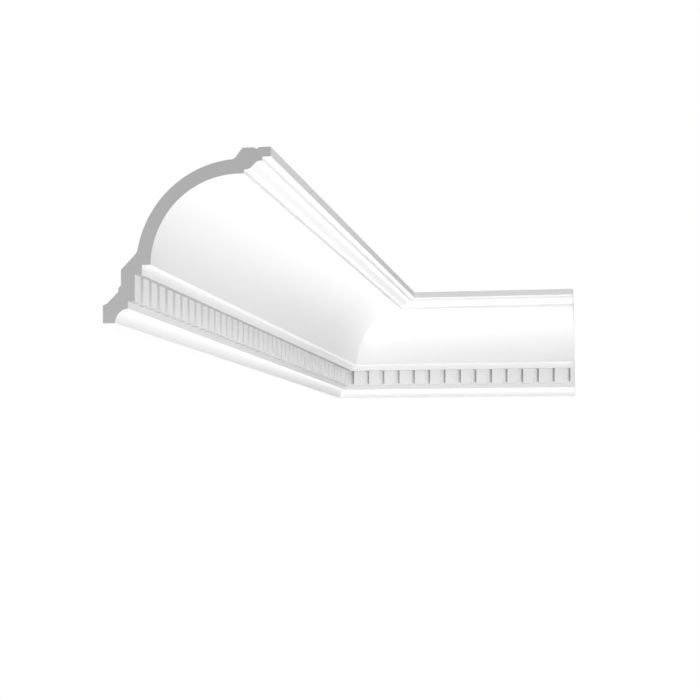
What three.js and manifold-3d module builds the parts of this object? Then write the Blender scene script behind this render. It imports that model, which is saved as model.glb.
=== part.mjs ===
// Cornice moulding turned through the inside corner of a room: two lengths of one large cove
// profile with a row of dentils, in primed moulded foam, mitred and butted at the corner.
// Millimetres, +Z up. The long length lies along the left wall and the short one along the back
// wall. The origin is the middle of the long length's wall land, the flat that is glued to the wall.

import * as THREE from "three";
import { mergeVertices } from "three/addons/utils/BufferGeometryUtils.js";
import Module from "manifold-3d";

const wasm = await Module();
wasm.setup();

// Lengths, each measured along its wall from the corner of the room
const longRun = 1333.3;
const shortRun = 465.5;
const mitreGap = 0.3;

// Room side of the profile, steps down from the ceiling
const fasciaHeight = 10.1;
const upperFilletHeight = 4.2;
const ogeeRise = 8.6;
const coveLipHeight = 4;
const coveRadius = 93.9;
const coveHang = 1.6;
const filletHeight = 10;
const dentilHeight = 28.1;
const bandHeight = 7.7;
const cavettoRadius = 15;

// Room side of the profile, steps out from the wall
const undersideDepth = 13.5;
const cavettoOverrun = 1;
const dentilProud = 7.8;
const filletProud = 7.7;
const coveStep = 9.5;
const coveShelf = 7.1;
const ogeeReach = 19.6;
const fasciaStep = 9.1;

// Ogee under the fascia: two arcs turned through one slope, with a straight between them
const ogeeSlope = THREE.MathUtils.degToRad(46);
const ogeeLead = 1.4;
const ogeeFootRadius = 10;
const ogeeStraight = 4;

// Dentil row: the pitch holds one dentil and one gap, and each gap's back wall stops short of the
// dentils' feet
const dentilPitch = 29.5;
const dentilGap = 9.8;
const gapBackProud = 2.5;
const gapBackLift = 3.7;
const dentilRoot = 2;

// Back of the profile
const ceilingLand = 30.2;
const grooveSetback = 12;
const grooveWidth = 6.4;
const grooveDepth = 1.8;
const hollowEdgeRun = 7.7;
const hollowEdgeDepth = 9.7;
const shellThickness = 18.2;
const hollowShiftOut = 2;
const hollowShiftDown = 2.6;
const hollowTopBlend = 6;
const hollowFootBlend = 3.7;
const spineSetback = 19.9;
const spineTopBelowCentre = 2.9;
const keyStep = 2.9;
const keyFaceHeight = 3.8;
const landShoulder = 5;
const landShoulderHeight = 2.2;
const wallLand = 19;

// Fineness of the round stretches, in steps to a full turn
const coveSteps = 168;
const smallArcSteps = 48;
const blendSteps = 5;

// Places worked out from the sizes above: "out" is the distance from the wall and "drop" the
// distance below the ceiling
const ogeeTopDrop = fasciaHeight + upperFilletHeight;
const ogeeFootDrop = ogeeTopDrop + ogeeRise;
const coveTopDrop = ogeeFootDrop + coveLipHeight;
const coveFootDrop = coveTopDrop + coveRadius - coveHang;
const dentilTopDrop = coveFootDrop + filletHeight;
const dentilFootDrop = dentilTopDrop + dentilHeight;
const bandFootDrop = dentilFootDrop + bandHeight;
const height = bandFootDrop + Math.sqrt(cavettoRadius ** 2 - cavettoOverrun ** 2);

const bandOut = undersideDepth + cavettoRadius - cavettoOverrun;
const dentilOut = bandOut + dentilProud;
const filletOut = dentilOut + filletProud;
const coveHangAngle = Math.asin(coveHang / coveRadius);
const coveCentreOut = filletOut + coveStep + coveRadius * Math.cos(coveHangAngle);
const coveCentreDrop = coveTopDrop + coveRadius;
const coveLipOut = coveCentreOut + coveShelf;
const ogeeEndOut = coveLipOut + ogeeReach;
const projection = ogeeEndOut + fasciaStep;

const quarterTurn = Math.PI / 2;

function point(out, drop) {
  return new THREE.Vector2(out, drop);
}

// Points along an arc, both ends included. Angle 0 points out from the wall, a quarter turn down.
function arc(centre, radius, from, to, stepsToTurn) {
  const steps = Math.max(2, Math.ceil((Math.abs(to - from) / (4 * quarterTurn)) * stepsToTurn));
  return Array.from({ length: steps + 1 }, (_, i) => {
    const angle = from + ((to - from) * i) / steps;
    return point(centre.x + radius * Math.cos(angle), centre.y + radius * Math.sin(angle));
  });
}

// A round corner between two points, with the corner that it rounds off as `knee`
function blend(from, knee, to) {
  return new THREE.QuadraticBezierCurve(from, knee, to).getPoints(blendSteps);
}

// The cavetto over the underside, a quarter round scooped out of the edge, from its foot up
function cavetto() {
  const centre = point(undersideDepth + cavettoRadius, height);
  const topAngle = -quarterTurn - Math.asin(cavettoOverrun / cavettoRadius);
  return arc(centre, cavettoRadius, -2 * quarterTurn, topAngle, smallArcSteps);
}

// The large cove, from its foot up to its shelf
function cove() {
  const centre = point(coveCentreOut, coveCentreDrop);
  return arc(centre, coveRadius, -2 * quarterTurn + coveHangAngle, -quarterTurn, coveSteps);
}

// The ogee between the cove's lip and the fillet under the fascia. Its upper arc takes the rise
// that the lower arc and the straight leave.
function ogee() {
  const riseOfTurn = 1 - Math.cos(ogeeSlope);
  const reachOfTurn = Math.sin(ogeeSlope);
  const bothRadii = (ogeeRise - ogeeStraight * Math.sin(ogeeSlope)) / riseOfTurn;
  const headRadius = bothRadii - ogeeFootRadius;
  const startOut = coveLipOut + ogeeLead;
  const endOut = startOut + bothRadii * reachOfTurn + ogeeStraight * Math.cos(ogeeSlope);
  const footCentre = point(startOut, ogeeFootDrop - ogeeFootRadius);
  const headCentre = point(endOut, ogeeTopDrop + headRadius);
  return [
    ...arc(footCentre, ogeeFootRadius, quarterTurn, quarterTurn - ogeeSlope, smallArcSteps),
    ...arc(headCentre, headRadius, -quarterTurn - ogeeSlope, -quarterTurn, smallArcSteps),
  ];
}

// The room side, from the foot of the wall land up to the front of the ceiling land, with the
// gaps' back wall in the dentils' place
function roomSide() {
  const gapBackOut = bandOut + gapBackProud;
  const gapBackFootDrop = dentilFootDrop - gapBackLift;
  return [
    point(0, height),
    ...cavetto(),
    point(bandOut, gapBackFootDrop),
    point(gapBackOut, gapBackFootDrop),
    point(gapBackOut, dentilTopDrop),
    point(filletOut, dentilTopDrop),
    point(filletOut, coveFootDrop),
    ...cove(),
    point(coveLipOut, coveTopDrop),
    point(coveLipOut, ogeeFootDrop),
    ...ogee(),
    point(ogeeEndOut, ogeeTopDrop),
    point(ogeeEndOut, fasciaHeight),
    point(projection, fasciaHeight),
    point(projection, 0),
  ];
}

// The glue groove along the ceiling land, from front to back
function glueGroove() {
  const front = projection - grooveSetback;
  return [
    point(front, 0),
    point(front - grooveWidth / 2, grooveDepth),
    point(front - grooveWidth, 0),
  ];
}

// The hollow behind the cove: a slope in from the ceiling land, the arch that leaves the shell,
// and a slope at 45 degrees down to the spine behind the dentils
function hollow() {
  const centre = point(coveCentreOut + hollowShiftOut, coveCentreDrop + hollowShiftDown);
  const radius = coveRadius + shellThickness;
  const spineTopDrop = coveCentreDrop + spineTopBelowCentre;

  const landEndOut = projection - ceilingLand;
  const rimOut = landEndOut - hollowEdgeRun;
  const topAngle = -quarterTurn - Math.asin((centre.x - rimOut + hollowTopBlend) / radius);
  const archTop = point(rimOut - hollowTopBlend, centre.y + radius * Math.sin(topAngle));

  const toSpine = point(spineSetback - centre.x, spineTopDrop - centre.y);
  const across = toSpine.x - toSpine.y;
  const beyond = toSpine.lengthSq() - radius ** 2;
  const slopeRun = (-across - Math.sqrt(across ** 2 - 2 * beyond)) / 2;
  const knee = point(spineSetback + slopeRun, spineTopDrop - slopeRun);
  const footAngle = -2 * quarterTurn - Math.asin((knee.y - hollowFootBlend - centre.y) / radius);
  const arch = arc(centre, radius, topAngle, footAngle, coveSteps);
  const archFoot = arch.at(-1);
  const slopeTop = point(knee.x - hollowFootBlend, knee.y + hollowFootBlend);

  return [
    point(landEndOut, 0),
    ...blend(
      point(rimOut, hollowEdgeDepth),
      point(rimOut - hollowTopBlend / 4, archTop.y),
      archTop,
    ),
    ...arch.slice(1),
    ...blend(archFoot, knee, slopeTop).slice(1),
    point(spineSetback, spineTopDrop),
  ];
}

// The stepped foot of the back, from the spine down to the wall land
function backFoot() {
  const landTopDrop = height - wallLand;
  const keyOut = spineSetback - keyStep;
  const shoulderDrop = landTopDrop - landShoulderHeight;
  const keyFootDrop = shoulderDrop - (keyOut - landShoulder);
  const keyTopDrop = keyFootDrop - keyFaceHeight;
  return [
    point(spineSetback, keyTopDrop - keyStep),
    point(keyOut, keyTopDrop),
    point(keyOut, keyFootDrop),
    point(landShoulder, shoulderDrop),
    point(0, landTopDrop),
  ];
}

// The whole section, drawn with the wall to its left and the ceiling on top of it
function section() {
  const outline = [...roomSide(), ...glueGroove(), ...hollow(), ...backFoot()];
  return new THREE.Shape(outline.map((corner) => point(corner.x, -corner.y)));
}

function solidOf(geometry) {
  geometry.deleteAttribute("normal");
  geometry.deleteAttribute("uv");
  const merged = mergeVertices(geometry);
  const vertProperties = merged.attributes.position.array;
  const triVerts = Uint32Array.from(merged.index.array);
  return new wasm.Manifold(new wasm.Mesh({ numProp: 3, vertProperties, triVerts }));
}

function geometryOf(solid) {
  const mesh = solid.getMesh();
  const geometry = new THREE.BufferGeometry();
  geometry.setAttribute("position", new THREE.BufferAttribute(mesh.vertProperties, 3));
  geometry.setIndex(new THREE.BufferAttribute(mesh.triVerts, 1));
  return geometry;
}

// One dentil that starts at `start` along the run, its root sunk into the moulding around it
function dentil(start) {
  const width = dentilPitch - dentilGap;
  const depth = dentilProud + dentilRoot;
  const tall = dentilHeight + dentilRoot;
  const block = new THREE.BoxGeometry(depth, tall, width);
  block.translate(dentilOut - depth / 2, tall / 2 - dentilFootDrop, start + width / 2);
  return solidOf(block);
}

// The row opens with a gap, so that the first gaps of both lengths meet in the corner
function dentilRow(runLength) {
  const room = runLength - dentilOut - dentilGap;
  const count = Math.ceil(room / dentilPitch);
  const first = dentilOut + dentilGap;
  return Array.from({ length: count }, (_, i) => dentil(first + i * dentilPitch));
}

// The waste beyond a saw cut, a block that stands on the cut's side away from the length. At the
// mitre the length stands as far along its wall as it stands out from it.
function wasteBeyondEnd(runLength) {
  const side = 3 * (projection + height + dentilPitch);
  return solidOf(new THREE.BoxGeometry(side, side, side).translate(0, 0, runLength + side / 2));
}

function wasteBeyondMitre() {
  const side = 3 * (projection + height + dentilPitch);
  const block = new THREE.BoxGeometry(side, side, side).translate(0, 0, -side / 2);
  block.rotateY(-quarterTurn / 2);
  block.translate(0, 0, (mitreGap / 2) * Math.SQRT2);
  return solidOf(block);
}

// One length of the moulding, with x out from the wall, y up and z along the wall: the section
// drawn through, its dentils on it, mitred at the corner and sawn square at the far end
function corniceLength(runLength) {
  const overrun = dentilPitch;
  const drawn = new THREE.ExtrudeGeometry(section(), {
    depth: runLength + overrun,
    bevelEnabled: false,
  });
  const moulded = dentilRow(runLength).reduce((solid, one) => solid.add(one), solidOf(drawn));
  return geometryOf(moulded.subtract(wasteBeyondEnd(runLength)).subtract(wasteBeyondMitre()));
}

// The long length runs from the corner towards -Y, and its room side faces +X
function longLength() {
  return corniceLength(longRun).rotateX(quarterTurn);
}

// The short length runs from the corner towards +X, and its room side faces -Y. It is of the other
// hand, so the length is mirrored, and its faces are turned to point outwards again.
function shortLength() {
  const geometry = corniceLength(shortRun).rotateX(quarterTurn);
  geometry.applyMatrix4(new THREE.Matrix4().set(0, -1, 0, 0, -1, 0, 0, 0, 0, 0, 1, 0, 0, 0, 0, 1));
  const corners = geometry.index.array;
  for (let i = 0; i < corners.length; i += 3) {
    [corners[i], corners[i + 1]] = [corners[i + 1], corners[i]];
  }
  return geometry;
}

function primedFoam() {
  return new THREE.MeshStandardMaterial({ color: 0xf2f2f2, roughness: 0.85, metalness: 0 });
}

function mouldedPiece(name, geometry) {
  const mesh = new THREE.Mesh(geometry, primedFoam());
  mesh.name = name;
  return mesh;
}

const cornice = new THREE.Group();
cornice.add(mouldedPiece("long_length", longLength()));
cornice.add(mouldedPiece("short_length", shortLength()));
cornice.position.set(0, longRun / 2, height - wallLand / 2);

export default cornice;
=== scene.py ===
"""Looks of a cornice moulding turned through an inside corner.

Two lengths of one large cove profile with a row of dentils, in moulded foam under a matt white
primer, meet in a mitre. The long length comes forward from the corner and the short one goes to
the right. Everything is in metres, in the frame of the part.
"""

import logging
import math
from collections.abc import Callable
from dataclasses import dataclass
from enum import Enum, IntEnum

import bpy
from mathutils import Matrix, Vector


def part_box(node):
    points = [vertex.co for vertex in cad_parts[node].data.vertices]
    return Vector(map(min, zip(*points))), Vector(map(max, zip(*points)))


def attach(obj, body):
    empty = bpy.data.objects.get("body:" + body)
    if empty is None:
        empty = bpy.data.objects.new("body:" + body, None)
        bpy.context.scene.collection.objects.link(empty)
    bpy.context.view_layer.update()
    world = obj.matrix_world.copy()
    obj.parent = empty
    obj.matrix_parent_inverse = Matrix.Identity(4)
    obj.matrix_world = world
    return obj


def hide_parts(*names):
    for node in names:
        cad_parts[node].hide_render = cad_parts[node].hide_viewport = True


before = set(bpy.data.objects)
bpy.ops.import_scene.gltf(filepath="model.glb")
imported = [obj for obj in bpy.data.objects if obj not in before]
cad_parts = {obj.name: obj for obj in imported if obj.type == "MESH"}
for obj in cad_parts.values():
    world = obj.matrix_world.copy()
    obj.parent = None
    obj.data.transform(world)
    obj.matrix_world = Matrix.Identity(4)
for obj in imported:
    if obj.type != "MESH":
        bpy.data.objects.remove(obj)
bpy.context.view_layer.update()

log = logging.getLogger("cornice")

QUARTER_TURN = math.pi / 2
SEED_SIDE = 0.01
TINY = 1e-6
SECTION_WELD = 1e-5
# Mesh attribute that holds the shade painted round the dentils, as a share of white
PAINTED_SHADE_ATTRIBUTE = "coat"
# The Mix node's own numbers for the sockets of a colour mix
MIX_SHARE, MIX_BARE, MIX_FULL, MIX_RESULT = 0, 6, 7, 2
# How far a wave texture at a scale of 1 turns in each metre
WAVE_RADIANS = 20.0


class Arm(Enum):
    """The two lengths that meet in the corner."""

    LONG = "long"
    SHORT = "short"


class Cut(Enum):
    """The two saw cuts that finish a length."""

    SQUARE_END = "square end"
    MITRE = "mitre"


class Side(IntEnum):
    """The differently finished sides of a length, by the numbers of their material slots."""

    FRONT = 0
    GLUED = 1
    SAWN = 2


@dataclass(frozen=True)
class InsideCorner:
    """The point where the flat backs and tops of the two lengths would meet, read from the frame.

    A place on the moulding is given by three distances: `out` from the back, `drop` below the top
    and `along` the length from the corner.
    """

    long_back: float
    short_back: float
    top: float

    @classmethod
    def from_frame(cls) -> "InsideCorner":
        """Reads the corner off the two packed lengths.

        Returns:
            The corner, in the part's frame.
        """
        long_low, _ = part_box("long_length")
        _, short_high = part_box("short_length")
        return cls(long_back=long_low.x, short_back=short_high.y, top=short_high.z)

    def out(self, arm: Arm) -> Vector:
        """The direction straight out from the back."""
        return Vector((1, 0, 0)) if arm is Arm.LONG else Vector((0, -1, 0))

    def along(self, arm: Arm) -> Vector:
        """The direction along the length, away from the corner."""
        return Vector((0, -1, 0)) if arm is Arm.LONG else Vector((1, 0, 0))

    def down(self) -> Vector:
        """The direction straight down from the top."""
        return Vector((0, 0, -1))

    def place(self, arm: Arm, out: float, drop: float, along: float) -> Vector:
        """Turns the three distances into a point of the part's frame.

        Args:
            arm: Which of the two lengths.
            out: Distance from its back.
            drop: Distance below its top.
            along: Distance from the corner.

        Returns:
            The point.
        """
        corner = Vector((self.long_back, self.short_back, self.top))
        return corner + self.out(arm) * out + self.down() * drop + self.along(arm) * along


class Bench:
    """The few moves that every piece is modelled with, each on the active object alone."""

    @staticmethod
    def clear() -> None:
        """Leaves edit mode and deselects every object."""
        if bpy.context.mode != "OBJECT":
            bpy.ops.object.mode_set(mode="OBJECT")
        bpy.ops.object.select_all(action="DESELECT")

    @staticmethod
    def take(piece: bpy.types.Object) -> None:
        """Makes a piece the only selected object and the active one.

        Args:
            piece: The object to work on.
        """
        Bench.clear()
        piece.select_set(True)
        bpy.context.view_layer.objects.active = piece

    @staticmethod
    def edit(kind: str, chosen: Callable[[bpy.types.Mesh], list[bool]] | None = None) -> None:
        """Enters edit mode on the active object with only the chosen elements selected.

        Args:
            kind: What is selected, VERT, EDGE or FACE.
            chosen: Gives one flag for each element of that kind, or None for all of them.
        """
        bpy.ops.object.mode_set(mode="EDIT")
        bpy.ops.mesh.select_mode(type=kind)
        if chosen is None:
            bpy.ops.mesh.select_all(action="SELECT")
            return
        bpy.ops.mesh.select_all(action="DESELECT")
        bpy.ops.object.mode_set(mode="OBJECT")
        mesh = bpy.context.object.data
        elements = {"VERT": mesh.vertices, "EDGE": mesh.edges, "FACE": mesh.polygons}[kind]
        elements.foreach_set("select", chosen(mesh))
        bpy.ops.object.mode_set(mode="EDIT")

    @staticmethod
    def apply(piece: bpy.types.Object, kind: str, **settings: object) -> None:
        """Adds one modifier to a piece, sets it up and applies it.

        Args:
            piece: The object to change.
            kind: The modifier's type.
            **settings: The modifier's own settings.
        """
        Bench.take(piece)
        modifier = piece.modifiers.new(kind.lower(), kind)
        for name, value in settings.items():
            setattr(modifier, name, value)
        bpy.ops.object.modifier_apply(modifier=modifier.name)

    @staticmethod
    def settle(piece: bpy.types.Object) -> None:
        """Moves a piece's place into its mesh, so that the object sits at the origin.

        Args:
            piece: The finished object.
        """
        Bench.take(piece)
        bpy.ops.object.transform_apply(location=True, rotation=True, scale=True)

    @staticmethod
    def open_edges(piece: bpy.types.Object) -> int:
        """Counts the edges that don't join exactly two faces, which is none on a closed solid.

        Args:
            piece: The object to look at.

        Returns:
            The number of such edges.
        """
        uses = dict.fromkeys(piece.data.edge_keys, 0)
        for polygon in piece.data.polygons:
            for key in polygon.edge_keys:
                uses[key] += 1
        return sum(count != 2 for count in uses.values())


class SectionPen:
    """Traces a section in edit mode, by extruding and spinning one vertex round the outline."""

    def __init__(self, corner: InsideCorner, arm: Arm, along: float) -> None:
        """Sets the plane of the section.

        Args:
            corner: The inside corner.
            arm: Which of the two lengths.
            along: Distance of the section from the corner.
        """
        self.corner = corner
        self.arm = arm
        self.along = along
        self.at = (0.0, 0.0)

    def start(self, out: float, drop: float, name: str) -> bpy.types.Object:
        """Puts down the first point, a small plane merged into its centre.

        Args:
            out: Distance of the point from the back.
            drop: Distance of the point below the top.
            name: Name of the new object.

        Returns:
            The new object, in edit mode.
        """
        Bench.clear()
        place = self.corner.place(self.arm, out, drop, self.along)
        bpy.ops.mesh.primitive_plane_add(size=SEED_SIDE, location=place)
        piece = bpy.context.object
        piece.name = piece.data.name = name
        Bench.edit("VERT")
        bpy.ops.mesh.merge(type="CENTER")
        self.at = (out, drop)
        return piece

    def line(self, out: float, drop: float) -> None:
        """Draws a straight stroke to a point.

        Args:
            out: Distance of the point from the back.
            drop: Distance of the point below the top.
        """
        step = self.corner.place(self.arm, out, drop, 0) - self.corner.place(self.arm, *self.at, 0)
        bpy.ops.mesh.extrude_vertices_move(TRANSFORM_OT_translate={"value": step})
        self.at = (out, drop)

    def arc(self, centre_out: float, centre_drop: float, turn: float, steps: int) -> None:
        """Draws an arc from the pen's place, by spinning the last vertex.

        Args:
            centre_out: Distance of the arc's centre from the back.
            centre_drop: Distance of the arc's centre below the top.
            turn: Angle to turn through, positive from out towards down.
            steps: Number of strokes that the arc is made of.
        """
        centre = self.corner.place(self.arm, centre_out, centre_drop, self.along)
        axis = self.corner.down().cross(self.corner.out(self.arm))
        bpy.ops.mesh.spin(steps=steps, angle=turn, center=centre, axis=axis)
        out, drop = self.at[0] - centre_out, self.at[1] - centre_drop
        self.at = (
            centre_out + out * math.cos(turn) - drop * math.sin(turn),
            centre_drop + out * math.sin(turn) + drop * math.cos(turn),
        )

    def ease(self, knee: tuple[float, float], end: tuple[float, float], steps: int) -> None:
        """Draws a soft corner, a parabola that leaves and arrives along the lines to its knee.

        Args:
            knee: The sharp corner that is rounded off, as out and drop.
            end: Where the curve ends, as out and drop.
            steps: Number of strokes that the curve is made of.
        """
        begin = self.at
        for i in range(1, steps + 1):
            t = i / steps
            axes = zip(begin, knee, end)
            self.line(*((1 - t) ** 2 * a + 2 * t * (1 - t) * b + t**2 * c for a, b, c in axes))

    def close(self) -> None:
        """Joins the last point to the first and fills the outline with one face."""
        Bench.edit("VERT")
        bpy.ops.mesh.remove_doubles(threshold=SECTION_WELD)
        bpy.ops.mesh.select_all(action="SELECT")
        bpy.ops.mesh.edge_face_add()


@dataclass(frozen=True)
class CoveProfile:
    """The section of the moulding, with its members named from the top down."""

    fascia_height: float = 0.0101
    upper_fillet_height: float = 0.0042
    ogee_rise: float = 0.0086
    cove_lip_height: float = 0.004
    cove_radius: float = 0.0939
    cove_hang: float = 0.0016
    fillet_height: float = 0.01
    dentil_height: float = 0.0281
    band_height: float = 0.0077
    cavetto_radius: float = 0.015

    underside_depth: float = 0.0135
    cavetto_overrun: float = 0.001
    dentil_proud: float = 0.0078
    fillet_proud: float = 0.0077
    cove_step: float = 0.0095
    cove_shelf: float = 0.0071
    ogee_reach: float = 0.0196
    fascia_step: float = 0.0091

    ogee_slope: float = math.radians(46)
    ogee_lead: float = 0.0014
    ogee_foot_radius: float = 0.01
    ogee_straight: float = 0.004

    gap_back_proud: float = 0.0025
    gap_back_lift: float = 0.0037

    top_land: float = 0.0302
    groove_setback: float = 0.012
    groove_width: float = 0.0064
    groove_depth: float = 0.0018
    hollow_edge_run: float = 0.0077
    hollow_edge_depth: float = 0.0097
    shell_thickness: float = 0.0182
    hollow_shift_out: float = 0.002
    hollow_shift_down: float = 0.0026
    hollow_top_blend: float = 0.006
    hollow_top_knee: float = 0.25
    hollow_foot_blend: float = 0.0037
    spine_setback: float = 0.0199
    spine_top_below_centre: float = 0.0029
    key_step: float = 0.0029
    key_face_height: float = 0.0038
    land_shoulder: float = 0.005
    land_shoulder_height: float = 0.0022
    back_land: float = 0.019

    arris_radius: float = 0.00035
    arris_steps: int = 3
    arris_turn: float = math.radians(20)
    cove_strokes: int = 96
    cavetto_strokes: int = 28
    ogee_strokes: int = 12
    blend_strokes: int = 8

    @property
    def ogee_top_drop(self) -> float:
        """Drop of the soffit that the ogee ends under."""
        return self.fascia_height + self.upper_fillet_height

    @property
    def ogee_foot_drop(self) -> float:
        """Drop of the ogee's foot, at the top of the cove's lip."""
        return self.ogee_top_drop + self.ogee_rise

    @property
    def cove_top_drop(self) -> float:
        """Drop of the cove's crown and of the shelf in front of it."""
        return self.ogee_foot_drop + self.cove_lip_height

    @property
    def cove_foot_drop(self) -> float:
        """Drop of the ledge that the cove stands on."""
        return self.cove_top_drop + self.cove_radius - self.cove_hang

    @property
    def dentil_top_drop(self) -> float:
        """Drop of the fillet's underside, where the dentils hang."""
        return self.cove_foot_drop + self.fillet_height

    @property
    def dentil_foot_drop(self) -> float:
        """Drop of the dentils' feet."""
        return self.dentil_top_drop + self.dentil_height

    @property
    def height(self) -> float:
        """Height of the whole section, from the top to the underside."""
        cavetto_rise = math.sqrt(self.cavetto_radius**2 - self.cavetto_overrun**2)
        return self.dentil_foot_drop + self.band_height + cavetto_rise

    @property
    def band_out(self) -> float:
        """Distance of the band under the dentils from the back."""
        return self.underside_depth + self.cavetto_radius - self.cavetto_overrun

    @property
    def dentil_out(self) -> float:
        """Distance of the dentils' fronts from the back."""
        return self.band_out + self.dentil_proud

    @property
    def fillet_out(self) -> float:
        """Distance of the fillet over the dentils from the back."""
        return self.dentil_out + self.fillet_proud

    @property
    def cove_centre_out(self) -> float:
        """Distance of the cove's centre from the back."""
        reach = math.sqrt(self.cove_radius**2 - self.cove_hang**2)
        return self.fillet_out + self.cove_step + reach

    @property
    def cove_centre_drop(self) -> float:
        """Drop of the cove's centre."""
        return self.cove_top_drop + self.cove_radius

    @property
    def cove_lip_out(self) -> float:
        """Distance of the cove's lip from the back."""
        return self.cove_centre_out + self.cove_shelf

    @property
    def ogee_end_out(self) -> float:
        """Distance of the upper fillet from the back."""
        return self.cove_lip_out + self.ogee_reach

    @property
    def projection(self) -> float:
        """Depth of the whole section, from the back to the fascia."""
        return self.ogee_end_out + self.fascia_step

    def trace(self, pen: SectionPen, name: str) -> bpy.types.Object:
        """Draws the whole section and fills it.

        Args:
            pen: The pen, set to the section's plane.
            name: Name of the new object.

        Returns:
            The filled section, in edit mode.
        """
        section = pen.start(0, self.height, name)
        self._trace_foot(pen)
        self._trace_cove(pen)
        self._trace_ogee(pen)
        self._trace_top_land(pen)
        self._trace_hollow(pen)
        self._trace_back_foot(pen)
        pen.close()
        return section

    def _trace_foot(self, pen: SectionPen) -> None:
        """Underside, cavetto, band, backs of the dentil gaps and fillet, from the foot up.

        Args:
            pen: The section's pen.
        """
        gap_foot_drop = self.dentil_foot_drop - self.gap_back_lift
        gap_back_out = self.band_out + self.gap_back_proud
        cavetto_turn = QUARTER_TURN - math.asin(self.cavetto_overrun / self.cavetto_radius)
        pen.line(self.underside_depth, self.height)
        centre_out = self.underside_depth + self.cavetto_radius
        pen.arc(centre_out, self.height, cavetto_turn, self.cavetto_strokes)
        pen.line(self.band_out, gap_foot_drop)
        pen.line(gap_back_out, gap_foot_drop)
        pen.line(gap_back_out, self.dentil_top_drop)
        pen.line(self.fillet_out, self.dentil_top_drop)
        pen.line(self.fillet_out, self.cove_foot_drop)

    def _trace_cove(self, pen: SectionPen) -> None:
        """The large cove, from its ledge up to its lip.

        Args:
            pen: The section's pen.
        """
        hang_turn = math.asin(self.cove_hang / self.cove_radius)
        pen.line(self.fillet_out + self.cove_step, self.cove_foot_drop)
        centre = (self.cove_centre_out, self.cove_centre_drop)
        pen.arc(*centre, QUARTER_TURN - hang_turn, self.cove_strokes)
        pen.line(self.cove_lip_out, self.cove_top_drop)
        pen.line(self.cove_lip_out, self.ogee_foot_drop)

    def _trace_ogee(self, pen: SectionPen) -> None:
        """The ogee: two arcs turned through one slope, with a straight between them.

        Args:
            pen: The section's pen.
        """
        rise_of_turn = 1 - math.cos(self.ogee_slope)
        straight_rise = self.ogee_straight * math.sin(self.ogee_slope)
        straight_run = self.ogee_straight * math.cos(self.ogee_slope)
        head_radius = (self.ogee_rise - straight_rise) / rise_of_turn - self.ogee_foot_radius
        foot_out = self.cove_lip_out + self.ogee_lead
        pen.line(foot_out, self.ogee_foot_drop)
        foot_centre_drop = self.ogee_foot_drop - self.ogee_foot_radius
        pen.arc(foot_out, foot_centre_drop, -self.ogee_slope, self.ogee_strokes)
        pen.line(pen.at[0] + straight_run, pen.at[1] - straight_rise)
        head_out = pen.at[0] + head_radius * math.sin(self.ogee_slope)
        pen.arc(head_out, self.ogee_top_drop + head_radius, self.ogee_slope, self.ogee_strokes)

    def _trace_top_land(self, pen: SectionPen) -> None:
        """Upper fillet and fascia, then the top land with its glue groove.

        Args:
            pen: The section's pen.
        """
        groove_front = self.projection - self.groove_setback
        pen.line(self.ogee_end_out, self.ogee_top_drop)
        pen.line(self.ogee_end_out, self.fascia_height)
        pen.line(self.projection, self.fascia_height)
        pen.line(self.projection, 0)
        pen.line(groove_front, 0)
        pen.line(groove_front - self.groove_width / 2, self.groove_depth)
        pen.line(groove_front - self.groove_width, 0)
        pen.line(self.projection - self.top_land, 0)

    def _trace_hollow(self, pen: SectionPen) -> None:
        """The hollow back: a slope in from the land, the arch, and a slope down to the spine.

        Args:
            pen: The section's pen.
        """
        centre_out = self.cove_centre_out + self.hollow_shift_out
        centre_drop = self.cove_centre_drop + self.hollow_shift_down
        radius = self.cove_radius + self.shell_thickness
        spine_top_drop = self.cove_centre_drop + self.spine_top_below_centre

        rim_out = self.projection - self.top_land - self.hollow_edge_run
        arch_top_out = rim_out - self.hollow_top_blend
        arch_rise = math.sqrt(radius**2 - (centre_out - arch_top_out) ** 2)
        arch_top = (arch_top_out, centre_drop - arch_rise)
        pen.line(rim_out, self.hollow_edge_depth)
        top_knee_out = rim_out - self.hollow_top_blend * self.hollow_top_knee
        pen.ease((top_knee_out, arch_top[1]), arch_top, self.blend_strokes)

        to_spine = (self.spine_setback - centre_out, spine_top_drop - centre_drop)
        across = to_spine[0] - to_spine[1]
        beyond = to_spine[0] ** 2 + to_spine[1] ** 2 - radius**2
        slope_run = (-across - math.sqrt(across**2 - 2 * beyond)) / 2
        knee = (self.spine_setback + slope_run, spine_top_drop - slope_run)
        foot_drop = knee[1] - self.hollow_foot_blend
        top_angle = math.asin((centre_out - arch_top_out) / radius)
        foot_angle = QUARTER_TURN + math.asin((foot_drop - centre_drop) / radius)
        pen.arc(centre_out, centre_drop, top_angle - foot_angle, self.cove_strokes)
        slope_top = (knee[0] - self.hollow_foot_blend, knee[1] + self.hollow_foot_blend)
        pen.ease(knee, slope_top, self.blend_strokes)
        pen.line(self.spine_setback, spine_top_drop)

    def _trace_back_foot(self, pen: SectionPen) -> None:
        """The stepped foot of the back, from the spine down to the back land.

        Args:
            pen: The section's pen.
        """
        land_top_drop = self.height - self.back_land
        key_out = self.spine_setback - self.key_step
        shoulder_drop = land_top_drop - self.land_shoulder_height
        key_foot_drop = shoulder_drop - (key_out - self.land_shoulder)
        key_top_drop = key_foot_drop - self.key_face_height
        pen.line(self.spine_setback, key_top_drop - self.key_step)
        pen.line(key_out, key_top_drop)
        pen.line(key_out, key_foot_drop)
        pen.line(self.land_shoulder, shoulder_drop)
        pen.line(0, land_top_drop)
        pen.line(0, self.height)

    def soften_arrises(self, section: bpy.types.Object) -> None:
        """Rounds every sharp corner of the filled section by the arris radius.

        Args:
            section: The filled section, which stays in edit mode.
        """

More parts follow.
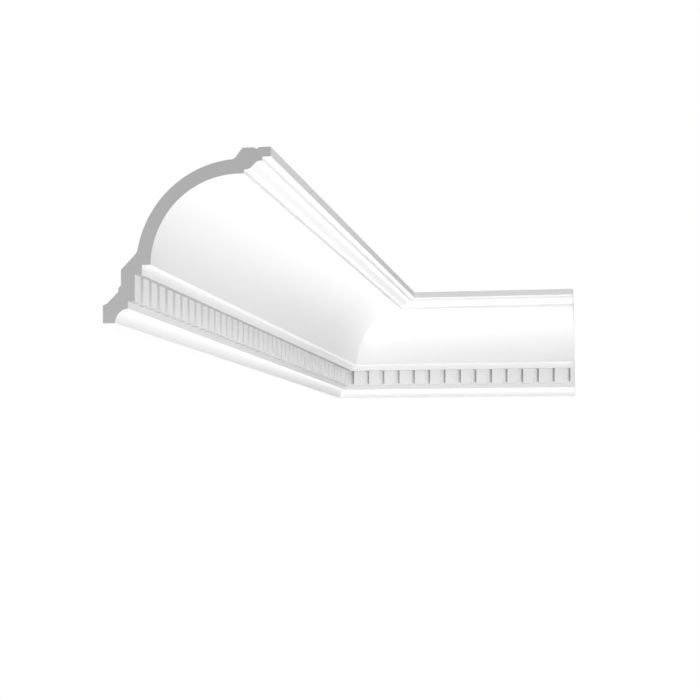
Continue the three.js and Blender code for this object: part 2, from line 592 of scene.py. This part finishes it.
        def sharp_corners(mesh: bpy.types.Mesh) -> list[bool]:
            """Flags the vertices where the outline turns by more than the arris turn.

            Args:
                mesh: The section's mesh, with its one face.

            Returns:
                One flag for each vertex.
            """
            flags = [False] * len(mesh.vertices)
            loop = list(mesh.polygons[0].vertices)
            for before, here, after in zip(loop[-1:] + loop[:-1], loop, loop[1:] + loop[:1]):
                arriving = mesh.vertices[here].co - mesh.vertices[before].co
                leaving = mesh.vertices[after].co - mesh.vertices[here].co
                flags[here] = arriving.angle(leaving) > self.arris_turn
            return flags

        Bench.edit("VERT", sharp_corners)
        bpy.ops.mesh.bevel(
            offset=self.arris_radius, segments=self.arris_steps, affect="VERTICES", clamp_overlap=False
        )


@dataclass(frozen=True)
class DentilRow:
    """The row of dentils under the fillet: one block, repeated at an even pitch."""

    pitch: float = 0.0295
    gap: float = 0.0098
    root: float = 0.002
    arris_radius: float = 0.0003
    arris_steps: int = 2

    @property
    def width(self) -> float:
        """Width of one dentil along the moulding."""
        return self.pitch - self.gap

    def build(self, corner: InsideCorner, arm: Arm, profile: CoveProfile, run: float) -> bpy.types.Object:
        """Models one dentil from a cube and repeats it, up to the saw cut or through it.

        Args:
            corner: The inside corner.
            arm: Which of the two lengths.
            profile: The section that the dentils hang on.
            run: Distance from the corner to the sawn end.

        Returns:
            The whole row as one object of separate blocks.
        """
        Bench.clear()
        depth = profile.dentil_proud + self.root
        tall = profile.dentil_height + self.root
        out, along = corner.out(arm), corner.along(arm)
        middle = profile.dentil_out + self.gap + self.width / 2
        out_and_drop = (profile.dentil_out - depth / 2, profile.dentil_foot_drop - tall / 2)
        centre = corner.place(arm, *out_and_drop, middle)
        size = [abs(out[i]) * depth + abs(along[i]) * self.width for i in range(2)] + [tall]
        bpy.ops.mesh.primitive_cube_add(size=1, location=centre, scale=size)
        row = bpy.context.object
        row.name = row.data.name = f"dentils_{arm.value}"
        Bench.settle(row)
        self._soften(row, out, centre + out * depth / 2)
        step = {"use_constant_offset": True, "constant_offset_displace": along * self.pitch}
        count = math.ceil((run - profile.dentil_out - self.gap) / self.pitch - TINY)
        Bench.apply(row, "ARRAY", count=count, use_relative_offset=False, **step)
        return row

    def _soften(self, block: bpy.types.Object, out: Vector, front: Vector) -> None:
        """Rounds the arrises of the block's front and foot.

        Args:
            block: The single dentil.
            out: The direction out from the back.
            front: A point on the dentil's front face.
        """

        def front_and_foot(mesh: bpy.types.Mesh) -> list[bool]:
            """Flags the edges of the front face and those round the foot.

            Args:
                mesh: The block's mesh.

            Returns:
                One flag for each edge.
            """
            lowest = min(vertex.co.z for vertex in mesh.vertices)
            flags = []
            for edge in mesh.edges:
                ends = [mesh.vertices[i].co for i in edge.vertices]
                on_front = all(abs((end - front).dot(out)) < TINY for end in ends)
                on_foot = all(end.z - lowest < TINY for end in ends)
                flags.append(on_front or on_foot)
            return flags

        Bench.take(block)
        Bench.edit("EDGE", front_and_foot)
        bpy.ops.mesh.bevel(offset=self.arris_radius, segments=self.arris_steps, affect="EDGES")
        Bench.clear()


class NodeDesk:
    """Places and links shader nodes in one tree."""

    def __init__(self, tree: bpy.types.NodeTree) -> None:
        """Takes the tree that the nodes go into.

        Args:
            tree: A material's or a group's node tree.
        """
        self.tree = tree

    def add(self, kind: str, links: dict | None = None, **settings: object) -> bpy.types.Node:
        """Adds one node.

        Args:
            kind: The node's type name.
            links: For each input's name or number, a socket to link from or a value to set.
            **settings: The node's own settings.

        Returns:
            The new node.
        """
        node = self.tree.nodes.new(kind)
        for name, value in settings.items():
            setattr(node, name, value)
        for name, source in (links or {}).items():
            target = node.inputs[name]
            if isinstance(source, bpy.types.NodeSocket):
                self.tree.links.new(source, target)
            else:
                target.default_value = source
        return node

    def stretch(self, value: bpy.types.NodeSocket, low: float, high: float) -> bpy.types.NodeSocket:
        """Maps a value from 0 to 1 onto another range.

        Args:
            value: The socket that gives the value.
            low: What 0 becomes.
            high: What 1 becomes.

        Returns:
            The socket with the mapped value.
        """
        links = {"Value": value, "To Min": low, "To Max": high}
        return self.add("ShaderNodeMapRange", links).outputs["Result"]

    def per(self, size: bpy.types.NodeSocket, top: float = 1.0) -> bpy.types.NodeSocket:
        """Divides a number by a size in metres, which gives a texture its scale."""
        return self.add("ShaderNodeMath", {0: top, 1: size}, operation="DIVIDE").outputs[0]

    def blend(self, share: bpy.types.NodeSocket, bare: object, full: object) -> bpy.types.NodeSocket:
        """Mixes two colours.

        Args:
            share: The socket that gives the share of the second colour.
            bare: The colour at 0, as a socket or a value.
            full: The colour at 1, as a socket or a value.

        Returns:
            The socket with the mixed colour.
        """
        links = {MIX_SHARE: share, MIX_BARE: bare, MIX_FULL: full}
        return self.add("ShaderNodeMix", links, data_type="RGBA").outputs[MIX_RESULT]


class EffectGroup:
    """A shader effect that several finishes use, built once as a node group."""

    title = ""
    inputs: tuple[str, ...] = ()
    outputs: tuple[str, ...] = ()

    @classmethod
    def tree(cls) -> bpy.types.NodeTree:
        """The effect's node group, built at the first call.

        Returns:
            The group.
        """
        built = bpy.data.node_groups.get(cls.title)
        if built is not None:
            return built
        tree = bpy.data.node_groups.new(cls.title, "ShaderNodeTree")
        tree.interface.new_socket("Vector", in_out="INPUT", socket_type="NodeSocketVector")
        for names, way in ((cls.inputs, "INPUT"), (cls.outputs, "OUTPUT")):
            for name in names:
                tree.interface.new_socket(name, in_out=way, socket_type="NodeSocketFloat")
        desk = NodeDesk(tree)
        given = desk.add("NodeGroupInput").outputs
        results = cls.wire(desk, given)
        desk.add("NodeGroupOutput", results)
        return tree

    @classmethod
    def wire(cls, desk: NodeDesk, given: bpy.types.NodeOutputs) -> dict[str, object]:
        """Builds the nodes inside the group.

        Args:
            desk: Where the nodes go.
            given: The sockets of the group's input.

        Returns:
            For each output name, the socket that feeds it.
        """
        raise NotImplementedError


class SprayedGrain(EffectGroup):
    """The fine orange peel of a sprayed coat, with slow drifts in its thickness."""

    title = "sprayed_grain"
    inputs = ("Grain", "Drift")
    outputs = ("Height", "Tone")

    @classmethod
    def wire(cls, desk: NodeDesk, given: bpy.types.NodeOutputs) -> dict[str, object]:
        """Adds the grain and one slow noise, each sized in metres.

        Args:
            desk: Where the nodes go.
            given: The sockets of the group's input.

        Returns:
            The grain as Height and the slow noise as Tone.
        """
        place = given["Vector"]
        grain = desk.add(
            "ShaderNodeTexNoise",
            {"Vector": place, "Scale": desk.per(given["Grain"]), "Detail": 2.0, "Roughness": 0.5},
        )
        drift = desk.add(
            "ShaderNodeTexNoise",
            {"Vector": place, "Scale": desk.per(given["Drift"]), "Detail": 3.0, "Roughness": 0.55},
        )
        return {"Height": grain.outputs["Fac"], "Tone": drift.outputs["Fac"]}


class FoamCells(EffectGroup):
    """The cut face of rigid foam: small round cells, and the faint lines that a saw leaves.

    Saw Radian is the length over which the saw lines turn by one radian.
    """

    title = "foam_cells"
    lean = math.radians(14)
    inputs = ("Cell", "Saw Radian")
    outputs = ("Height", "Pores", "Saw")

    @classmethod
    def wire(cls, desk: NodeDesk, given: bpy.types.NodeOutputs) -> dict[str, object]:
        """Adds the cells as a Voronoi pattern and the saw lines as bands that lean a little.

        Args:
            desk: Where the nodes go.
            given: The sockets of the group's input.

        Returns:
            The cells as Pores, the saw lines as Saw, and both together as Height.
        """
        place = given["Vector"]
        cells = desk.add(
            "ShaderNodeTexVoronoi",
            {"Vector": place, "Scale": desk.per(given["Cell"]), "Randomness": 1.0},
            feature="F1",
        )
        pores = desk.stretch(cells.outputs["Distance"], 1.0, 0.0)
        lean = desk.add("ShaderNodeMapping", {"Vector": place, "Rotation": (cls.lean, cls.lean, 0.0)})
        saw = desk.add(
            "ShaderNodeTexWave",
            {
                "Vector": lean.outputs["Vector"],
                "Scale": desk.per(given["Saw Radian"], 1 / WAVE_RADIANS),
                "Distortion": 1.2,
                "Detail": 2.0,
                "Detail Scale": 0.6,
            },
            wave_type="BANDS",
            bands_direction="Z",
        )
        height = desk.add("ShaderNodeMath", {0: pores, 1: saw.outputs["Fac"]}, operation="SUBTRACT")
        return {"Height": height.outputs[0], "Pores": pores, "Saw": saw.outputs["Fac"]}


def grey(value: float) -> tuple[float, float, float, float]:
    """A neutral colour of one brightness, opaque."""
    return (value, value, value, 1.0)


@dataclass(frozen=True)
class Finish:
    """What every finish of the moulding has, whatever its colour."""

    name: str
    relief: float
    strength: float
    gloss: float


class FinishDesk(NodeDesk):
    """The desk of a new material, with its shader and its Object coordinates."""

    def __init__(self, name: str) -> None:
        """Starts the material.

        Args:
            name: Name of the material.
        """
        self.material = bpy.data.materials.new(name)
        self.material.use_nodes = True
        super().__init__(self.material.node_tree)
        self.shader = self.tree.nodes["Principled BSDF"]
        self.place = self.add("ShaderNodeTexCoord").outputs["Object"]

    def effect(self, group: type[EffectGroup], sizes: dict[str, float]) -> bpy.types.NodeOutputs:
        """Adds a shared effect.

        Args:
            group: The effect.
            sizes: The effect's sizes in metres, by input name.

        Returns:
            The effect's outputs.
        """
        links = {"Vector": self.place, **sizes}
        return self.add("ShaderNodeGroup", links, node_tree=group.tree()).outputs

    def shade(self, finish: Finish, **fed: bpy.types.NodeSocket) -> bpy.types.Material:
        """Feeds the shader, and gives it the relief and the gloss of the finish.

        Args:
            finish: The finish.
            **fed: The sockets with the colour, the roughness and the height, by those names.

        Returns:
            The finished material.
        """
        relief = {"Height": fed["height"], "Strength": finish.strength, "Distance": finish.relief}
        bump = self.add("ShaderNodeBump", relief)
        self.tree.links.new(fed["colour"], self.shader.inputs["Base Color"])
        self.tree.links.new(fed["roughness"], self.shader.inputs["Roughness"])
        self.tree.links.new(bump.outputs["Normal"], self.shader.inputs["Normal"])
        self.shader.inputs["Specular IOR Level"].default_value = finish.gloss
        return self.material


@dataclass(frozen=True)
class SprayedPrimer(Finish):
    """The factory primer on the front: matt, near white, with a very fine grain.

    Where the coat attribute falls below 1, the tone turns grey: shade painted round the dentils.
    """

    name: str = "primed_white"
    light: float = 0.875
    shade: float = 0.855
    # Grey of the shade painted round the dentils
    foam: float = 0.42
    grain: float = 0.0011
    drift: float = 0.12
    roughness: tuple[float, float] = (0.58, 0.7)
    relief: float = 0.00004
    strength: float = 0.35
    gloss: float = 0.3

    def material(self) -> bpy.types.Material:
        """Builds the material.

        Returns:
            The primer's material.
        """
        desk = FinishDesk(self.name)
        coat = desk.effect(SprayedGrain, {"Grain": self.grain, "Drift": self.drift})
        tone = desk.blend(coat["Tone"], grey(self.shade), grey(self.light))
        # Painted shade: the coat attribute turns the tone grey round the dentils.
        cover_and_painted_shade = desk.add("ShaderNodeAttribute", attribute_name=PAINTED_SHADE_ATTRIBUTE).outputs["Fac"]
        tone_with_painted_shade = desk.blend(cover_and_painted_shade, grey(self.foam), tone)
        roughness = desk.stretch(coat["Height"], *self.roughness)
        return desk.shade(self, colour=tone_with_painted_shade, roughness=roughness, height=coat["Height"])


@dataclass(frozen=True)
class ThinPrimer(Finish):
    """The glued side, where only the edge of the spray landed and the foam shows through."""

    name: str = "thin_primer"
    coat: float = 0.76
    skin: float = 0.68
    grain: float = 0.0016
    drift: float = 0.11
    edge: tuple[float, float] = (0.3, 0.7)
    roughness: tuple[float, float] = (0.85, 0.7)
    relief: float = 0.00008
    strength: float = 0.5
    gloss: float = 0.25

    def material(self) -> bpy.types.Material:
        """Builds the material.

        Returns:
            The material of the lands and the hollow back.
        """
        desk = FinishDesk(self.name)
        coat = desk.effect(SprayedGrain, {"Grain": self.grain, "Drift": self.drift})
        start, full = self.edge
        cover_and_painted_shade = desk.add(
            "ShaderNodeMapRange",
            {"Value": coat["Tone"], "From Min": start, "From Max": full},
            interpolation_type="SMOOTHSTEP",
        )
        tone = desk.blend(cover_and_painted_shade.outputs["Result"], grey(self.skin), grey(self.coat))
        roughness = desk.stretch(coat["Tone"], *self.roughness)
        return desk.shade(self, colour=tone, roughness=roughness, height=coat["Height"])


@dataclass(frozen=True)
class SawnFoam(Finish):
    """The bare grey core on the sawn faces: closed fine cells with faint saw lines."""

    name: str = "sawn_foam"
    wall_tone: float = 0.68
    pore_tone: float = 0.6
    cell: float = 0.0007
    saw_radian: float = 0.0012
    roughness: tuple[float, float] = (0.82, 0.95)
    relief: float = 0.00012
    strength: float = 0.4
    gloss: float = 0.15

    def material(self) -> bpy.types.Material:
        """Builds the material.

        Returns:
            The material of the sawn faces.
        """
        desk = FinishDesk(self.name)
        cells = desk.effect(FoamCells, {"Cell": self.cell, "Saw Radian": self.saw_radian})
        tone = desk.blend(cells["Pores"], grey(self.pore_tone), grey(self.wall_tone))
        roughness = desk.stretch(cells["Saw"], *self.roughness)
        return desk.shade(self, colour=tone, roughness=roughness, height=cells["Height"])


@dataclass(frozen=True)
class Finishes:
    """The three finishes of a length."""

    front: SprayedPrimer = SprayedPrimer()
    glued: ThinPrimer = ThinPrimer()
    sawn: SawnFoam = SawnFoam()

    def materials(self) -> list[bpy.types.Material]:
        """The materials, in the order of the sides that they go on."""
        return [self.front.material(), self.glued.material(), self.sawn.material()]


@dataclass(frozen=True)
class RecessPaintedShade:
    """Painted shade round the dentils, as a share of white from 0, all grey, to 1 or more, none.

    Shade is painted on the undersides round the dentils and on the dentils' sides that face the
    corner, and in each gap it deepens towards them as a painted shadow. At over 1 the gap stays
    free of shade for part of its width.
    """

    full: float = 1.0
    # Painted shade on the undersides beside the dentils
    soffit: float = 0.15
    # Painted shadow across each gap, at its edge towards the corner and at the one away
    gap: tuple[float, float] = (1.7, 0.0)
    # Painted shade on the dentils' sides that face the corner
    painted_shade_side: float = 0.2
    near: float = 0.0004
    square_on: float = 0.9

    def on(
        self, profile: CoveProfile, out: float, drop: float, facing: tuple[float, float, float]
    ) -> tuple[float, float]:
        """The share of white that the painted shade leaves on one face.

        Args:
            profile: The section that the face is on.
            out: Distance of the face's centre from the back.
            drop: Drop of the face's centre below the top.
            facing: How far the normal points out from the back, down, and away from the corner.

        Returns:
            The share of white at the face's edge towards the corner and at the one away from it.
        """
        outward, downward, away = facing
        gap_back_out = profile.band_out + profile.gap_back_proud
        beside = profile.dentil_top_drop - self.near < drop < profile.dentil_foot_drop + self.near
        if not beside or out > profile.fillet_out - self.near:
            return self.full, self.full
        if downward > self.square_on:
            return self.soffit, self.soffit
        if away < -self.square_on:
            return self.painted_shade_side, self.painted_shade_side
        in_gap = abs(out - gap_back_out) < self.near and outward > self.square_on
        return self.gap if in_gap else (self.full, self.full)


@dataclass
class CorniceLength:
    """One length of the cornice: traced, drawn out, set with dentils, sawn and primed.

    A face within cut_depth of a saw cut is sawn foam. One whose normal leans back or up by
    back_lean or more is on the glued side.
    """

    name: str
    node: str
    arm: Arm
    run: float
    corner: InsideCorner
    profile: CoveProfile = CoveProfile()
    dentils: DentilRow = DentilRow()
    # Shade painted on the faces round the dentils
    cover_and_painted_shade: RecessPaintedShade = RecessPaintedShade()
    mitre_gap: float = 0.00006
    saw_set: float = 0.00002
    overrun: float = 0.03
    smooth_turn: float = math.radians(36)
    weld: float = 0.000002
    cut_depth: float = 0.0001
    back_lean: float = 0.02

    def build(self, materials: list[bpy.types.Material]) -> bpy.types.Object:
        """Models the length and dresses it.

        Args:
            materials: The finishes, in slot order.

        Returns:
            The finished piece.
        """
        piece = self._draw_out()
        self._join_dentils(piece)
        for cut in Cut:
            self._saw(piece, cut)
        self._smooth(piece)
        Bench.settle(piece)
        self._dress(piece, materials)
        return piece

    def _draw_out(self) -> bpy.types.Object:
        """Traces the section past the sawn end and extrudes it past the corner.

        Returns:
            The plain moulding.
        """
        along = self.corner.along(self.arm)
        pen = SectionPen(self.corner, self.arm, self.run + self.overrun)
        piece = self.profile.trace(pen, self.name)
        self.profile.soften_arrises(piece)
        Bench.edit("FACE")
        reach = self.run + 2 * self.overrun
        bpy.ops.mesh.extrude_region_move(TRANSFORM_OT_translate={"value": along * -reach})
        bpy.ops.mesh.select_all(action="SELECT")
        bpy.ops.mesh.normals_make_consistent(inside=False)
        Bench.clear()
        return piece

    def _join_dentils(self, piece: bpy.types.Object) -> None:
        """Joins the dentil row to the moulding, as it comes out of one mould.

        Args:
            piece: The plain moulding.
        """
        row = self.dentils.build(self.corner, self.arm, self.profile, self.run)
        Bench.apply(piece, "BOOLEAN", operation="UNION", solver="EXACT", object=row)
        bpy.data.objects.remove(row)

    def _cut_plane(self, cut: Cut) -> tuple[Vector, Vector]:
        """The plane of a saw cut.

        Args:
            cut: Which cut.

        Returns:
            A point on the plane, and its normal, which points to the waste.
        """
        along = self.corner.along(self.arm)
        if cut is Cut.SQUARE_END:
            return self.corner.place(self.arm, 0, 0, self.run - self.saw_set), along
        half_gap = self.mitre_gap / 2
        waste = (self.corner.out(self.arm) - along).normalized()
        return self.corner.place(self.arm, 0, 0, 0) - waste * half_gap, waste

    def _saw(self, piece: bpy.types.Object, cut: Cut) -> None:
        """Saws through the moulding, drops the waste and caps the cut.

        Args:
            piece: The moulding.
            cut: Which cut.
        """
        place, waste = self._cut_plane(cut)
        Bench.take(piece)
        Bench.edit("FACE")
        bpy.ops.mesh.bisect(
            plane_co=place, plane_no=waste, use_fill=True, clear_outer=True, threshold=TINY
        )
        Bench.clear()

    def _smooth(self, piece: bpy.types.Object) -> None:
        """Shades the round stretches smooth and keeps the flats flat.

        Args:
            piece: The sawn moulding.
        """
        Bench.take(piece)
        Bench.edit("VERT")
        bpy.ops.mesh.remove_doubles(threshold=self.weld)
        bpy.ops.mesh.select_all(action="SELECT")
        bpy.ops.mesh.normals_make_consistent(inside=False)
        Bench.take(piece)
        bpy.ops.object.shade_smooth_by_angle(angle=self.smooth_turn)
        Bench.apply(piece, "WEIGHTED_NORMAL", mode="FACE_AREA", weight=100, keep_sharp=True)

    def _paint_recess_shade(self, piece: bpy.types.Object) -> None:
        """Writes the painted shade round the dentils, as a share of white at each face corner.

        Args:
            piece: The modelled length.
        """
        corner = self.corner.place(self.arm, 0, 0, 0)
        out, along = self.corner.out(self.arm), self.corner.along(self.arm)
        down = self.corner.down()
        mesh = piece.data
        values = [self.cover_and_painted_shade.full] * len(mesh.loops)
        for polygon in mesh.polygons:
            place, normal = polygon.center - corner, polygon.normal
            facing = (normal.dot(out), normal.dot(down), normal.dot(along))
            edge_shades = self.cover_and_painted_shade.on(self.profile, place.dot(out), place.dot(down), facing)
            for i in polygon.loop_indices:
                spot = mesh.vertices[mesh.loops[i].vertex_index].co
                is_away = (spot - polygon.center).dot(along) > 0
                values[i] = edge_shades[1] if is_away else edge_shades[0]
        mesh.attributes.new(PAINTED_SHADE_ATTRIBUTE, "FLOAT", "CORNER").data.foreach_set("value", values)

    def _dress(self, piece: bpy.types.Object, materials: list[bpy.types.Material]) -> None:
        """Gives each face its finish and painted shade, and ties the piece to the frame.

        Args:
            piece: The modelled length.
            materials: The finishes, in slot order.
        """
        for material in materials:
            piece.data.materials.append(material)
        cuts = [self._cut_plane(cut) for cut in Cut]
        out = self.corner.out(self.arm)
        for polygon in piece.data.polygons:
            normal = polygon.normal
            if any((polygon.center - place).dot(waste) > -self.cut_depth for place, waste in cuts):
                polygon.material_index = Side.SAWN
            elif normal.dot(out) < -self.back_lean or normal.z > self.back_lean:
                polygon.material_index = Side.GLUED
        # Paints shade round the dentils into the coat attribute
        self._paint_recess_shade(piece)
        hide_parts(self.node)
        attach(piece, "root")


@dataclass(frozen=True)
class SoftBox:
    """A square studio light."""

    name: str
    place: tuple[float, float, float]
    side: float
    power: float
    aim: tuple[float, float, float] = (0.15, 0.1, 0.05)

    def build(self) -> bpy.types.Object:
        """Adds the light, unseen by the camera, and turns it to what it aims at.

        Returns:
            The light.
        """
        lamp = bpy.data.lights.new(self.name, "AREA")
        lamp.shape = "SQUARE"
        lamp.size = self.side
        lamp.energy = self.power
        box = bpy.data.objects.new(self.name, lamp)
        bpy.context.scene.collection.objects.link(box)
        box.visible_camera = False
        box.location = self.place
        toward = Vector(self.aim) - Vector(self.place)
        box.rotation_euler = toward.to_track_quat("-Z", "Y").to_euler()
        return box


@dataclass(frozen=True)
class Studio:
    """A pale floor far below, soft light and the camera."""

    floor_below: float = 2.43
    floor_side: float = 60.0
    floor_tone: tuple[float, float] = (0.9, 0.91)
    floor_roughness: float = 0.9
    sky: float = 0.35
    backdrop: float = 1.0
    lights: tuple[SoftBox, ...] = (
        SoftBox("under_right", (1.2, -0.5, -1.2), 0.5, 12.9),
        SoftBox("deep_right", (2.1, -1.1, -1.8), 0.5, 6.8),
        SoftBox("under_left", (-0.6, 0.4, -1.2), 0.5, 6.3),
        SoftBox("under_corner", (-0.3, 1.0, -1.6), 0.5, 8.0),
        SoftBox("low_key", (1.4, -1.3, -0.8), 0.5, 2.6),
        SoftBox("near_left", (0.0, -1.3, -0.7), 0.7, 2.4),
        SoftBox("front_fill", (0.45, -2.2, -0.25), 0.7, 5.0),
        SoftBox("over_back", (-0.5, 0.9, 1.1), 0.6, 3.5),
    )
    camera_place: tuple[float, float, float] = (0.5255, -2.1423, -0.1829)
    camera_turn: float = math.radians(9.9657)
    lens: float = 75.003
    shift_side: float = -0.00071
    shift_up: float = 0.19595

    def build(self) -> None:
        """Sets up the whole studio."""
        self._lay_floor()
        self._light_sky()
        for softbox in self.lights:
            softbox.build()
        self._place_camera()

    def _lay_floor(self) -> None:
        """Lays a wide pale floor, as white to the camera as the backdrop behind it."""
        Bench.clear()
        bpy.ops.mesh.primitive_plane_add(size=self.floor_side, location=(0, 0, -self.floor_below))
        floor = bpy.context.object
        floor.name = floor.data.name = "floor"
        desk = FinishDesk("pale_floor")
        shader = desk.shader
        darker, lighter = self.floor_tone
        grain = desk.add("ShaderNodeTexNoise", {"Vector": desk.place, "Scale": 4.0, "Detail": 2.0})
        tone = desk.blend(grain.outputs["Fac"], grey(darker), grey(lighter))
        desk.tree.links.new(tone, shader.inputs["Base Color"])
        shader.inputs["Roughness"].default_value = self.floor_roughness
        glow = desk.add("ShaderNodeEmission", {"Color": grey(1.0), "Strength": self.backdrop})
        seen = desk.add("ShaderNodeLightPath").outputs["Is Camera Ray"]
        mixed = desk.add("ShaderNodeMixShader", {0: seen, 1: shader.outputs[0], 2: glow.outputs[0]})
        surface = desk.tree.nodes["Material Output"].inputs["Surface"]
        desk.tree.links.new(mixed.outputs[0], surface)
        floor.data.materials.append(desk.material)

    def _light_sky(self) -> None:
        """Lights the scene evenly from all round, with a white backdrop for the camera."""
        world = bpy.data.worlds.new("studio")
        bpy.context.scene.world = world
        world.use_nodes = True
        desk = NodeDesk(world.node_tree)
        backdrop = world.node_tree.nodes["Background"]
        backdrop.inputs["Color"].default_value = grey(1.0)
        backdrop.inputs["Strength"].default_value = self.backdrop
        sky = desk.add("ShaderNodeBackground", {"Color": grey(1.0), "Strength": self.sky})
        seen = desk.add("ShaderNodeLightPath").outputs["Is Camera Ray"]
        mixed = desk.add("ShaderNodeMixShader", {0: seen, 1: sky.outputs[0], 2: backdrop.outputs[0]})
        desk.tree.links.new(mixed.outputs[0], world.node_tree.nodes["World Output"].inputs["Surface"])

    def _place_camera(self) -> None:
        """Puts the camera below the moulding, level, with its lens shifted up."""
        camera = bpy.data.cameras.new("camera")
        camera.lens = self.lens
        camera.shift_x = self.shift_side
        camera.shift_y = self.shift_up
        stand = bpy.data.objects.new("camera", camera)
        bpy.context.scene.collection.objects.link(stand)
        stand.location = self.camera_place
        stand.rotation_euler = (QUARTER_TURN, 0, self.camera_turn)
        bpy.context.scene.camera = stand
        bpy.context.scene.view_settings.view_transform = "Standard"


def main() -> None:
    """Builds the two lengths and the studio, and reports each piece."""
    logging.basicConfig(level=logging.INFO, format="%(message)s")
    corner = InsideCorner.from_frame()
    long_low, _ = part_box("long_length")
    _, short_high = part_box("short_length")
    long_run, short_run = corner.short_back - long_low.y, short_high.x - corner.long_back
    materials = Finishes().materials()
    for length in (
        CorniceLength("moulded_long_length", "long_length", Arm.LONG, long_run, corner),
        CorniceLength("moulded_short_length", "short_length", Arm.SHORT, short_run, corner),
    ):
        piece = length.build(materials)
        triangles = sum(len(polygon.vertices) - 2 for polygon in piece.data.polygons)
        log.info("%s: %d triangles, %d open edges", piece.name, triangles, Bench.open_edges(piece))
    Studio().build()


if __name__ == "__main__":
    main()
